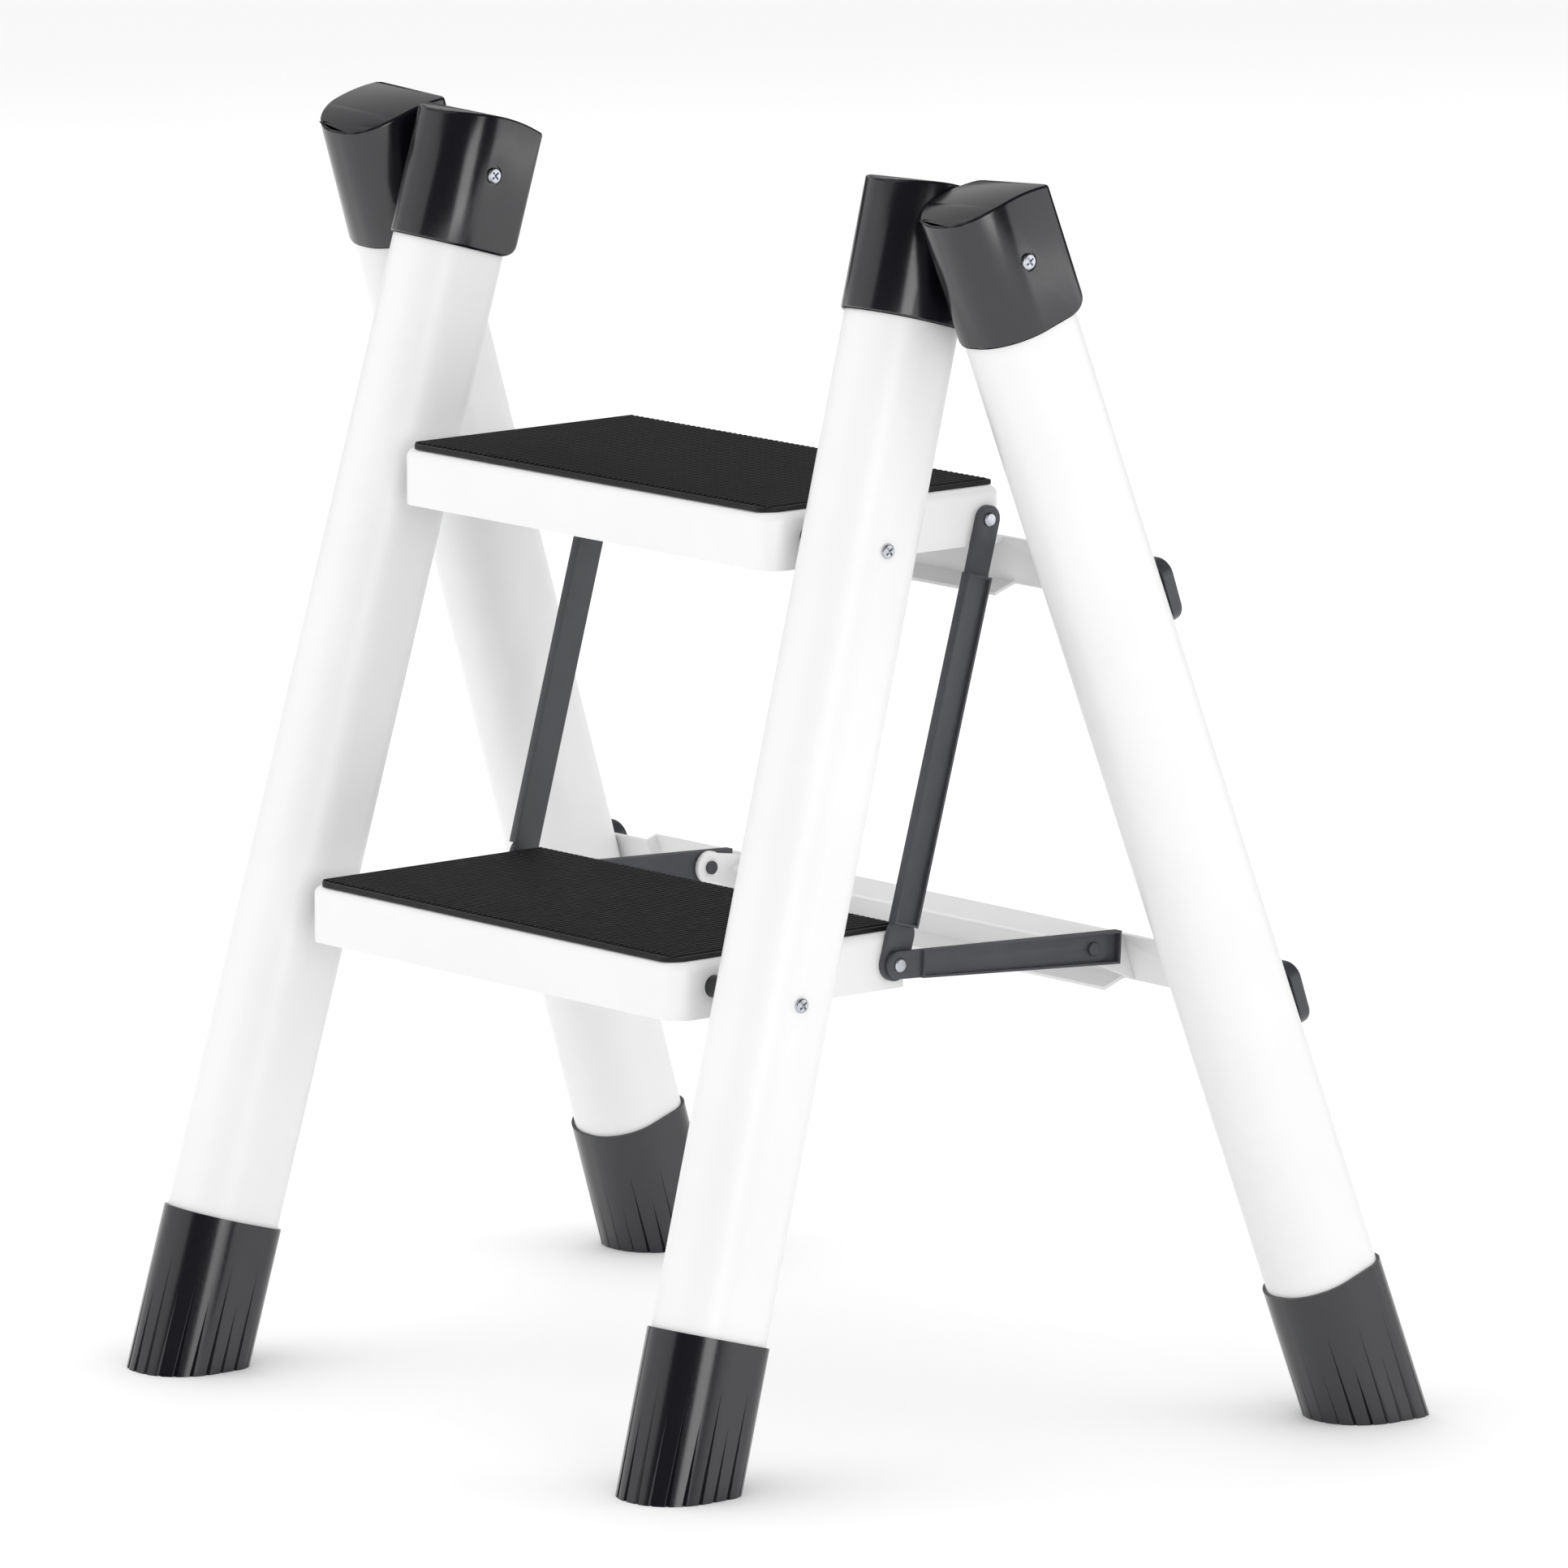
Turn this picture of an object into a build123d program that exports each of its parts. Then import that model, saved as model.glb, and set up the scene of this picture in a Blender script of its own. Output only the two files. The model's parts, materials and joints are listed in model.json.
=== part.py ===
from build123d import *
import math
import os

# Two-step folding stool. Millimetres, +Z up, the steps face -Y, the width runs along X.
# The origin is on the floor, at the middle of the footprint.

# ---- overall ----
HINGE_HEIGHT = 640.5          # hinge axis above the floor
FRONT_LEAN = 15.7             # degrees, front legs in side view
REAR_LEAN = 19.44             # degrees, rear legs in side view
FRONT_SPLAY = 1.84            # degrees, front legs in front view
REAR_SPLAY = 3.86             # degrees, rear legs in front view
HINGE_GAP = 6.3               # between a front cap and a rear cap

# ---- leg tubes ----
TUBE_WIDTH = 54.0             # section with a round front and squarer rear
TUBE_FLAT = 4.0               # flat part of the round front
TUBE_REAR_CORNER = 12.0       # outer radius of the rear corners
TUBE_WALL = 1.5
TUBE_RISE = 20.0              # tube end above the hinge axis, along the leg
FIT = 0.2                     # sliding clearance of a tube in a moulding, each side

# ---- moulded caps and feet ----
MOULD_WALL = 1.8              # side wall of caps and feet
CAP_BELOW = 40.5              # cap mouth below the hinge, along the leg
CAP_ABOVE = 29.0              # shoulder of the cap above the hinge
CAP_CROWN_RADIUS = 110.0      # crown of the top, seen from the side
CAP_REAR_CORNER = 4.0         # crisp rear edges
CAP_LOWER_CORNER = 11.0       # lower rear corner, seen from the side
FOOT_HEIGHT = 84.0            # foot sleeve above the floor, along the leg
FOOT_SOLE = 14.0              # solid sole under the tube end

# ---- hinge ----
HINGE_PIN_DIAMETER = 8.0
HINGE_SCREW_DIAMETER = 5.0
HINGE_SCREW_LENGTH = 30.0
HINGE_HEAD_DIAMETER = 8.8
HINGE_HEAD_HEIGHT = 1.8
HINGE_BOSS_DIAMETER = 18.0
HINGE_WASHER_THICKNESS = 1.8
PIN_CLEARANCE = 0.1           # radial, any pin in its hole
FACE_CLEARANCE = 0.1          # between faces that turn on each other
SPOT_DEPTH = 0.4              # spot face under a screw head
SPOT_CLEARANCE = 1.0          # radial, head in its spot face

# ---- treads ----
TREAD_DROP = 137.6            # upper mat's top face below the hinge axis
TREAD_RISE = 231.9            # between the two treads
TREAD_CLEARANCE = 2.5         # between a tray and a front cap, each side
MAT_WIDTH = 300.0
MAT_DEPTH = 158.0
MAT_THICKNESS = 3.5
MAT_FRONT_CORNER = 10.0
MAT_REAR_CORNER = 4.0
TRAY_SIDE = 5.5               # tray beyond the mat, each side
TRAY_FRONT = 2.0              # tray beyond the mat, at the front
TRAY_REAR = 0.5               # tray beyond the mat, at the rear
TRAY_DEPTH = 30.5             # height of the tray's flange
TRAY_SHEET = 1.5
TRAY_CORNER = 12.0            # plan radius of the front corners
TRAY_REAR_CORNER = 6.0        # plan radius of the rear corners
TRAY_EDGE = 5.0               # radius of the top edge
PIVOT_DROP = 17.4             # tread pivot below the mat's top face
PIVOT_SETBACK = 24.0          # tread pivot behind the mat's front edge

# ---- tread pivots ----
PIVOT_DIAMETER = 6.0
PIVOT_HEAD_DIAMETER = 8.0
PIVOT_HEAD_HEIGHT = 1.8
PIVOT_SPACER_DIAMETER = 12.0
PIVOT_NUT_FLATS = 10.0
PIVOT_NUT_HEIGHT = 5.0
PIVOT_END = 1.5               # screw beyond its nut

# ---- links ----
LINK_INSET = 11.5             # link rivet in front of the tray's rear edge
LINK_DROP = 3.0               # link rivet below the tread pivot
LINK_WIDTH = 15.0
LINK_THICKNESS = 3.0
LINK_END_WIDTH = 18.0         # lower end of a lift link
LINK_END_LENGTH = 34.0
LINK_GAP = 0.4                # between a tray and a link, and between links
RIVET_DIAMETER = 5.0
RIVET_HEAD_DIAMETER = 7.4
RIVET_HEAD_HEIGHT = 1.4
SPREAD_DROP = 10.6            # rear pivot of the spread link below the lower tread's pivot
SPREAD_PIVOT_OFFSET = 10.0    # behind the rear leg's axis
SPREAD_TAIL = 11.0            # link beyond its rear pivot

# ---- crossbars ----
BAR_HEIGHT = 28.0
BAR_SHEET = 2.0
BAR_FLANGE = 15.0             # forward flange of the channel
BAR_CLEARANCE = 5.7           # web of the bar behind the upper tray's lower edge
BAR_JOG_INSET = 45.0          # step of the bar inside the leg's axis
LOWER_BAR_DROP = 17.7         # lower crossbar's middle below the spread pivot, along the leg
TREAD_REST_GAP = 0.3          # upper tread above its crossbar
LUG_SHEET = 3.0
LUG_EYE = 9.0                 # radius around the spread pivot

# ---- crossbar fasteners ----
BAR_BOLT_DIAMETER = 6.0
BAR_BOLT_LENGTH = 16.0
BAR_BOLT_HEAD_DIAMETER = 12.0
BAR_BOLT_HEAD_HEIGHT = 4.0
BAR_NUT_DIAMETER = 9.0
BAR_NUT_LENGTH = 11.0
BAR_NUT_FLANGE_DIAMETER = 13.0
BAR_NUT_FLANGE_HEIGHT = 1.0
COVER_WIDTH = 36.0
COVER_HEIGHT = 8.5
COVER_CORNER = 9.0            # corners of a cover, seen from behind
COVER_EDGE = 3.0              # radius around the top of a cover
COVER_WALL = 2.0

# ---- worked out ----
TUBE_CORNER = (TUBE_WIDTH - TUBE_FLAT) / 2
SLEEVE_WIDTH = TUBE_WIDTH + 2 * (FIT + MOULD_WALL)
SLEEVE_CORNER = TUBE_CORNER + FIT + MOULD_WALL


def slope(degrees):
    return math.tan(math.radians(degrees))


def sole_reach(lean):
    """Distance from the hinge to a foot's outer edge on the floor, along Y."""
    half_section = SLEEVE_WIDTH / 2 / math.cos(math.radians(lean))
    return HINGE_HEIGHT * slope(lean) + half_section


HINGE_Y = (sole_reach(FRONT_LEAN) - sole_reach(REAR_LEAN)) / 2
TREAD_HEIGHT = HINGE_HEIGHT - TREAD_DROP
UPPER_PIVOT_Z = TREAD_HEIGHT - PIVOT_DROP
LOWER_PIVOT_Z = UPPER_PIVOT_Z - TREAD_RISE
TRAY_HALF = MAT_WIDTH / 2 + TRAY_SIDE
TRAY_LENGTH = TRAY_FRONT + MAT_DEPTH + TRAY_REAR
FRONT_HINGE_X = TRAY_HALF + TREAD_CLEARANCE + SLEEVE_WIDTH / 2
REAR_HINGE_X = FRONT_HINGE_X + SLEEVE_WIDTH + HINGE_GAP
LINK_ARM = MAT_DEPTH + TRAY_REAR - PIVOT_SETBACK - LINK_INSET
SPREAD_PIVOT_Z = LOWER_PIVOT_Z - SPREAD_DROP
BAR_FLANGE_HALF = MAT_WIDTH / 2
LIFT_X = TRAY_HALF + LINK_GAP
SPREAD_X = LIFT_X + LINK_THICKNESS + LINK_GAP


class Leg:
    """One leg's line: local z runs down the leg, local y to the front or the rear side of it."""

    def __init__(self, side, hinge_x, lean, splay):
        run = Vector(side * slope(splay), slope(lean), -1)
        self.side = side
        self.length = HINGE_HEIGHT * run.length
        self.plane = Plane((side * hinge_x, HINGE_Y, HINGE_HEIGHT), x_dir=(1, 0, 0), z_dir=run)

    def place(self, shape):
        return self.plane.location * shape

    def point_at(self, height):
        drop = (HINGE_HEIGHT - height) / HINGE_HEIGHT * self.length
        return self.plane.origin + self.plane.z_dir * drop


def front_leg_line(side):
    return Leg(side, FRONT_HINGE_X, -FRONT_LEAN, FRONT_SPLAY)


def rear_leg_line(side):
    return Leg(side, REAR_HINGE_X, REAR_LEAN, REAR_SPLAY)


def rod(diameter, x_from, x_to, y, z):
    """A cylinder along X between two x values."""
    centre = ((x_from + x_to) / 2, y, z)
    return Pos(*centre) * Rot(0, 90, 0) * Cylinder(diameter / 2, abs(x_to - x_from))


def leg_section(growth):
    """The tube's outline, grown by an amount: round towards local +y, with tighter rear corners."""
    width = TUBE_WIDTH + 2 * growth
    outline = Rectangle(width, width)
    outline = fillet(outline.vertices().group_by(Axis.Y)[-1], TUBE_CORNER + growth)
    return fillet(outline.vertices().group_by(Axis.Y)[0], TUBE_REAR_CORNER + growth)


# ---- legs ----

def leg_tube(leg):
    top = -TUBE_RISE
    length = leg.length - FOOT_SOLE + TUBE_RISE
    wall = extrude(leg_section(0), length) - extrude(leg_section(-TUBE_WALL), length)
    return leg.place(Pos(0, 0, top) * wall)


def cap_outline():
    """Round nose towards local +y, flat sides and a nearly square rear."""
    outline = Rectangle(SLEEVE_WIDTH, SLEEVE_WIDTH)
    outline = fillet(outline.vertices().group_by(Axis.Y)[-1], SLEEVE_CORNER)
    return fillet(outline.vertices().group_by(Axis.Y)[0], CAP_REAR_CORNER)


def cap_side_view():
    """Crowned top and a rounded lower rear corner, across the whole width."""
    half = SLEEVE_WIDTH / 2
    crown = CAP_CROWN_RADIUS - math.sqrt(CAP_CROWN_RADIUS ** 2 - half ** 2)
    shoulder = -CAP_ABOVE
    view = make_face([
        Line((-half, shoulder), (-half, CAP_BELOW)),
        Line((-half, CAP_BELOW), (half, CAP_BELOW)),
        Line((half, CAP_BELOW), (half, shoulder)),
        ThreePointArc((half, shoulder), (0, shoulder - crown), (-half, shoulder)),
    ])
    corner = view.vertices().sort_by(Axis.Y)[-2:].sort_by(Axis.X)[0]
    view = fillet(corner, CAP_LOWER_CORNER)
    return extrude(Plane.YZ * view, SLEEVE_WIDTH, both=True)


def cap_shell():
    height = CAP_BELOW + CAP_ABOVE + CAP_CROWN_RADIUS
    block = Pos(0, 0, CAP_BELOW - height) * extrude(cap_outline(), height)
    depth = CAP_BELOW + TUBE_RISE + FIT
    pocket = Pos(0, 0, CAP_BELOW - depth) * extrude(leg_section(FIT), depth)
    return (block & cap_side_view()) - pocket


def foot_sleeve(leg):
    top = leg.length - FOOT_HEIGHT
    overrun = SLEEVE_WIDTH
    sleeve = extrude(leg_section(FIT + MOULD_WALL), FOOT_HEIGHT + overrun)
    sleeve -= extrude(leg_section(FIT), FOOT_HEIGHT - FOOT_SOLE + FIT)
    foot = leg.place(Pos(0, 0, top) * sleeve)
    reach = 4 * HINGE_HEIGHT
    above_floor = Pos(0, 0, reach / 2) * Box(reach, reach, reach)
    return foot & above_floor


# ---- hinge ----

FRONT_CAP_INNER = FRONT_HINGE_X - SLEEVE_WIDTH / 2
FRONT_CAP_OUTER = FRONT_HINGE_X + SLEEVE_WIDTH / 2
REAR_CAP_INNER = REAR_HINGE_X - SLEEVE_WIDTH / 2
REAR_CAP_OUTER = REAR_HINGE_X + SLEEVE_WIDTH / 2
HINGE_MIDDLE = (FRONT_CAP_OUTER + REAR_CAP_INNER) / 2
WASHER_FROM = HINGE_MIDDLE - HINGE_WASHER_THICKNESS / 2
WASHER_TO = HINGE_MIDDLE + HINGE_WASHER_THICKNESS / 2
BARREL_SEAT = FRONT_CAP_INNER + SPOT_DEPTH
SCREW_SEAT = REAR_CAP_OUTER - SPOT_DEPTH
BARREL_END = REAR_CAP_OUTER - MOULD_WALL


def hinge_rod(side, diameter, x_from, x_to):
    return rod(diameter, side * x_from, side * x_to, HINGE_Y, HINGE_HEIGHT)


def hinge_bore(side):
    return hinge_rod(side, HINGE_PIN_DIAMETER + 2 * PIN_CLEARANCE,
                     FRONT_CAP_INNER - MOULD_WALL, REAR_CAP_OUTER + MOULD_WALL)


def spot_face(side, seat, outwards):
    diameter = HINGE_HEAD_DIAMETER + 2 * SPOT_CLEARANCE
    return hinge_rod(side, diameter, seat, seat + outwards * 4 * SPOT_DEPTH)


def front_cap(side):
    leg = front_leg_line(side)
    boss = hinge_rod(side, HINGE_BOSS_DIAMETER,
                     FRONT_CAP_OUTER - MOULD_WALL / 2, WASHER_FROM - FACE_CLEARANCE)
    cap = leg.place(cap_shell()) + boss
    return cap - hinge_bore(side) - spot_face(side, BARREL_SEAT, -1)


def rear_cap(side):
    leg = rear_leg_line(side)
    boss = hinge_rod(side, HINGE_BOSS_DIAMETER,
                     WASHER_TO + FACE_CLEARANCE, REAR_CAP_INNER + MOULD_WALL / 2)
    cap = leg.place(cap_shell()) + boss
    return cap - hinge_bore(side) - spot_face(side, SCREW_SEAT, 1)


def hinge_barrel(side):
    head = hinge_rod(side, HINGE_HEAD_DIAMETER, BARREL_SEAT - HINGE_HEAD_HEIGHT, BARREL_SEAT)
    shank = hinge_rod(side, HINGE_PIN_DIAMETER, BARREL_SEAT, BARREL_END)
    thread = hinge_rod(side, HINGE_SCREW_DIAMETER + 2 * PIN_CLEARANCE,
                       BARREL_END - HINGE_SCREW_LENGTH, BARREL_END)
    return head + shank - thread


def hinge_screw(side):
    head = hinge_rod(side, HINGE_HEAD_DIAMETER, SCREW_SEAT, SCREW_SEAT + HINGE_HEAD_HEIGHT)
    tip = SCREW_SEAT - HINGE_SCREW_LENGTH
    return head + hinge_rod(side, HINGE_SCREW_DIAMETER, tip, SCREW_SEAT)


def hinge_washer(side):
    ring = hinge_rod(side, HINGE_BOSS_DIAMETER, WASHER_FROM, WASHER_TO)
    return ring - hinge_bore(side)


# ---- tread pivots ----

def pivot_rod(side, height, diameter, x_from, x_to):
    y = front_leg_line(1).point_at(height).Y
    return rod(diameter, side * x_from, side * x_to, y, height)


def leg_face(height, outwards):
    """x of a front leg's outer or inner face at a height."""
    tilt = math.cos(math.radians(FRONT_SPLAY))
    return front_leg_line(1).point_at(height).X + outwards * TUBE_WIDTH / 2 / tilt


def pivot_hole(side, height):
    span = (TRAY_HALF - 4 * TRAY_SHEET, leg_face(height, 1) + MOULD_WALL)
    return pivot_rod(side, height, PIVOT_DIAMETER + 2 * PIN_CLEARANCE, *span)


def pivot_screw(side, height):
    seat = leg_face(height, 1) + SPOT_DEPTH / 2
    tip = TRAY_HALF - TRAY_SHEET - FACE_CLEARANCE - PIVOT_NUT_HEIGHT - PIVOT_END
    head = pivot_rod(side, height, PIVOT_HEAD_DIAMETER, seat, seat + PIVOT_HEAD_HEIGHT)
    return head + pivot_rod(side, height, PIVOT_DIAMETER, tip, seat)


def pivot_spacer(side, height):
    end = leg_face(height, -1) - SPOT_DEPTH / 2
    ring = pivot_rod(side, height, PIVOT_SPACER_DIAMETER, TRAY_HALF + FACE_CLEARANCE, end)
    return ring - pivot_hole(side, height)


def pivot_nut(side, height):
    y = front_leg_line(1).point_at(height).Y
    face = TRAY_HALF - TRAY_SHEET - FACE_CLEARANCE
    across_corners = PIVOT_NUT_FLATS / math.cos(math.pi / 6)
    hexagon = extrude(RegularPolygon(across_corners / 2, 6), PIVOT_NUT_HEIGHT / 2, both=True)
    nut = Pos(side * (face - PIVOT_NUT_HEIGHT / 2), y, height) * Rot(0, 90, 0) * hexagon
    return nut - pivot_rod(side, height, PIVOT_DIAMETER + 2 * PIN_CLEARANCE, 0, face)


def front_leg(side):
    leg = leg_tube(front_leg_line(side))
    leg -= hinge_bore(side)
    for height in (UPPER_PIVOT_Z, LOWER_PIVOT_Z):
        leg -= pivot_hole(side, height)
    return leg


# ---- treads ----

def tread_front(pivot_z):
    """y of the mat's front edge."""
    return front_leg_line(1).point_at(pivot_z).Y - PIVOT_SETBACK


def rivet_place(pivot_z):
    """y and z of the link rivet of a tread."""
    return front_leg_line(1).point_at(pivot_z).Y + LINK_ARM, pivot_z - LINK_DROP


def pan(inset):
    """A block with rounded corners and top edge, drawn in from the tray's outside by inset."""
    plan = Rectangle(2 * (TRAY_HALF - inset), TRAY_LENGTH - 2 * inset)
    plan = fillet(plan.vertices().group_by(Axis.Y)[0], TRAY_CORNER - inset)
    plan = fillet(plan.vertices().group_by(Axis.Y)[-1], TRAY_REAR_CORNER - inset)
    block = extrude(plan, -TRAY_DEPTH)
    return fillet(block.faces().sort_by(Axis.Z)[-1].edges(), TRAY_EDGE - inset)


def tray(pivot_z):
    top = pivot_z + PIVOT_DROP - MAT_THICKNESS
    middle = tread_front(pivot_z) - TRAY_FRONT + TRAY_LENGTH / 2
    hollow = Pos(0, 0, -TRAY_SHEET) * pan(TRAY_SHEET)
    shell = Pos(0, middle, top) * (pan(0) - hollow)
    through = (TRAY_HALF - 2 * TRAY_SHEET, TRAY_HALF + TRAY_SHEET)
    for side in (-1, 1):
        shell -= pivot_hole(side, pivot_z)
        shell -= rod(RIVET_DIAMETER, side * through[0], side * through[1], *rivet_place(pivot_z))
    return shell


def mat(pivot_z):
    bottom = pivot_z + PIVOT_DROP - MAT_THICKNESS
    middle = tread_front(pivot_z) + MAT_DEPTH / 2
    plan = Rectangle(MAT_WIDTH, MAT_DEPTH)
    plan = fillet(plan.vertices().group_by(Axis.Y)[0], MAT_FRONT_CORNER)
    plan = fillet(plan.vertices().group_by(Axis.Y)[-1], MAT_REAR_CORNER)
    return Pos(0, middle, bottom) * extrude(plan, MAT_THICKNESS)


# ---- links ----

def stadium(start, end, width, x):
    """A flat bar with round ends between two (y, z) points, LINK_THICKNESS thick from x outwards."""
    run = Vector(end[0] - start[0], end[1] - start[1])
    plane = Plane((x, start[0], start[1]), x_dir=(0, run.X, run.Y), z_dir=(1, 0, 0))
    bar = Pos(run.length / 2, 0) * SlotCenterToCenter(run.length, width)
    return extrude(plane * bar, LINK_THICKNESS)


def toward(start, end, distance):
    run = math.dist(start, end)
    return (start[0] + (end[0] - start[0]) * distance / run,
            start[1] + (end[1] - start[1]) * distance / run)


def rivet_hole(x, place):
    return rod(RIVET_DIAMETER + 2 * PIN_CLEARANCE, x - LINK_THICKNESS, x + 2 * LINK_THICKNESS, *place)


def lift_link():
    upper = rivet_place(UPPER_PIVOT_Z)
    lower = rivet_place(LOWER_PIVOT_Z)
    link = stadium(upper, lower, LINK_WIDTH, LIFT_X)
    widened = LINK_END_LENGTH - LINK_END_WIDTH
    link += stadium(lower, toward(lower, upper, widened), LINK_END_WIDTH, LIFT_X)
    return link - rivet_hole(LIFT_X, upper) - rivet_hole(LIFT_X, lower)


def spread_pivot():
    """y and z of the spread link's rear pivot."""
    lean = math.cos(math.radians(REAR_LEAN))
    y = rear_leg_line(1).point_at(SPREAD_PIVOT_Z).Y + SPREAD_PIVOT_OFFSET / lean
    return y, SPREAD_PIVOT_Z


def spread_link():
    front = rivet_place(LOWER_PIVOT_Z)
    rear = spread_pivot()
    tail = toward(rear, front, LINK_WIDTH / 2 - SPREAD_TAIL)
    link = stadium(front, tail, LINK_WIDTH, SPREAD_X)
    return link - rivet_hole(SPREAD_X, front) - rivet_hole(SPREAD_X, rear)


def rivet(place, tail_x, outer_x, headed):
    """A rivet along X: a formed tail inside tail_x, and a head outside outer_x if it shows."""
    tail = rod(RIVET_HEAD_DIAMETER, tail_x - RIVET_HEAD_HEIGHT, tail_x, *place)
    body = tail + rod(RIVET_DIAMETER, tail_x, outer_x, *place)
    if headed:
        body += rod(RIVET_HEAD_DIAMETER, outer_x, outer_x + RIVET_HEAD_HEIGHT, *place)
    return body


def upper_link_rivet():
    outer = LIFT_X + LINK_THICKNESS + FACE_CLEARANCE
    return rivet(rivet_place(UPPER_PIVOT_Z), TRAY_HALF - TRAY_SHEET, outer, True)


def lower_link_rivet():
    outer = LIFT_X + LINK_THICKNESS
    return rivet(rivet_place(LOWER_PIVOT_Z), TRAY_HALF - TRAY_SHEET, outer, False)


def spread_front_rivet():
    """Fills the spread link's front eye, flush inside and with its head outside."""
    place = rivet_place(LOWER_PIVOT_Z)
    outer = SPREAD_X + LINK_THICKNESS
    shank = rod(RIVET_DIAMETER, SPREAD_X, outer, *place)
    return shank + rod(RIVET_HEAD_DIAMETER, outer, outer + RIVET_HEAD_HEIGHT, *place)


def spread_rear_rivet():
    lug_inner = SPREAD_X - LINK_GAP - LUG_SHEET
    outer = SPREAD_X + LINK_THICKNESS + FACE_CLEARANCE
    return rivet(spread_pivot(), lug_inner, outer, True)


# ---- crossbars ----

def bar_plane():
    """Middle plane of the rear frame: local z runs down the legs, local y to the front."""
    run = (0, slope(REAR_LEAN), -1)
    return Plane((0, HINGE_Y, HINGE_HEIGHT), x_dir=(1, 0, 0), z_dir=run)


def in_bar_plane(y, z):
    """Local y and distance down the legs of a point in side view."""
    place = bar_plane().to_local_coords(Vector(0, y, z))
    return place.Y, place.Z


def tray_rear_edge():
    """Lower rear edge of the upper tray, where it rests on its crossbar."""
    rear_y = tread_front(UPPER_PIVOT_Z) + MAT_DEPTH + TRAY_REAR
    bottom_z = TREAD_HEIGHT - MAT_THICKNESS - TRAY_DEPTH
    return in_bar_plane(rear_y, bottom_z - TREAD_REST_GAP)


BAR_FACE = TUBE_WIDTH / 2 + FIT
WEB_FACE = tray_rear_edge()[0] - BAR_CLEARANCE


def upper_bar_middle():
    """The upper crossbar stands just under the rear edge of the upper tread."""
    return tray_rear_edge()[1] + BAR_HEIGHT / 2


def lower_bar_middle():
    return in_bar_plane(*spread_pivot())[1] + LOWER_BAR_DROP


def bolt_x(middle):
    """x of a rear leg's axis at a crossbar."""
    return REAR_HINGE_X + middle * slope(REAR_SPLAY) * math.cos(math.radians(REAR_LEAN))


def bar_bolt_hole(x, middle, diameter):
    depth = 4 * BAR_BOLT_LENGTH
    hole = Pos(x, -BAR_FACE, middle) * Rot(90, 0, 0) * Cylinder(diameter / 2, depth)
    return hole


def plate(x_from, x_to, y_from, y_to, z_from, z_to):
    """A box between two corners."""
    centre = ((x_from + x_to) / 2, (y_from + y_to) / 2, (z_from + z_to) / 2)
    return Pos(*centre) * Box(abs(x_to - x_from), abs(y_to - y_from), abs(z_to - z_from))


def bar_end(x, middle):
    """Round end of a crossbar around its bolt."""
    disc = Rot(90, 0, 0) * Cylinder(BAR_HEIGHT / 2, BAR_SHEET)
    return Pos(x, -BAR_FACE - BAR_SHEET / 2, middle) * disc


def crossbar(middle):
    """A channel set back between two flat ends, which lie on the rear faces of the legs."""
    top = middle - BAR_HEIGHT / 2
    bottom = middle + BAR_HEIGHT / 2
    jog = bolt_x(middle) - BAR_JOG_INSET
    eye = bolt_x(middle)
    bar = plate(-jog, jog, WEB_FACE, WEB_FACE - BAR_SHEET, top, bottom)
    for side in (-1, 1):
        inner = side * (jog - BAR_SHEET)
        bar += plate(inner, side * jog, WEB_FACE - BAR_SHEET, -BAR_FACE, top, bottom)
        bar += plate(inner, side * eye, -BAR_FACE, -BAR_FACE - BAR_SHEET, top, bottom)
        bar += bar_end(side * eye, middle)
    for edge in (top, bottom - BAR_SHEET):
        bar += plate(-BAR_FLANGE_HALF, BAR_FLANGE_HALF, WEB_FACE - BAR_SHEET,
                     WEB_FACE + BAR_FLANGE, edge, edge + BAR_SHEET)
    for side in (-1, 1):
        bar -= bar_bolt_hole(side * bolt_x(middle), middle, BAR_BOLT_DIAMETER + 2 * PIN_CLEARANCE)
    return bar_plane().location * bar


def bar_bolt(side, middle):
    head = Pos(0, 0, BAR_BOLT_HEAD_HEIGHT / 2) * Cylinder(BAR_BOLT_HEAD_DIAMETER / 2,
                                                          BAR_BOLT_HEAD_HEIGHT)
    shank = Pos(0, 0, -BAR_BOLT_LENGTH / 2) * Cylinder(BAR_BOLT_DIAMETER / 2, BAR_BOLT_LENGTH)
    return at_bar_bolt(side, middle, head + shank)


def at_bar_bolt(side, middle, shape):
    """Put a turned piece on a crossbar's rear face: its +z points to the rear."""
    place = Pos(side * bolt_x(middle), -BAR_FACE - BAR_SHEET, middle) * Rot(90, 0, 0)
    return bar_plane().location * place * shape


def bar_nut(side, middle):
    """A flanged nut inside the leg tube, flange against its rear wall."""
    top = -BAR_SHEET - FIT - TUBE_WALL - FIT / 2
    flange = Pos(0, 0, top - BAR_NUT_FLANGE_HEIGHT / 2) * Cylinder(
        BAR_NUT_FLANGE_DIAMETER / 2, BAR_NUT_FLANGE_HEIGHT)
    body = Pos(0, 0, top - BAR_NUT_LENGTH / 2) * Cylinder(BAR_NUT_DIAMETER / 2, BAR_NUT_LENGTH)
    bore = Cylinder(BAR_BOLT_DIAMETER / 2 + PIN_CLEARANCE, 4 * BAR_BOLT_LENGTH)
    return at_bar_bolt(side, middle, flange + body - bore)


def rear_leg(side):
    leg = leg_tube(rear_leg_line(side))
    leg -= hinge_bore(side)
    for middle in (upper_bar_middle(), lower_bar_middle()):
        hole = Cylinder(BAR_BOLT_DIAMETER / 2 + PIN_CLEARANCE, 2 * BAR_BOLT_LENGTH)
        leg -= at_bar_bolt(side, middle, hole)
    return leg


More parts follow.
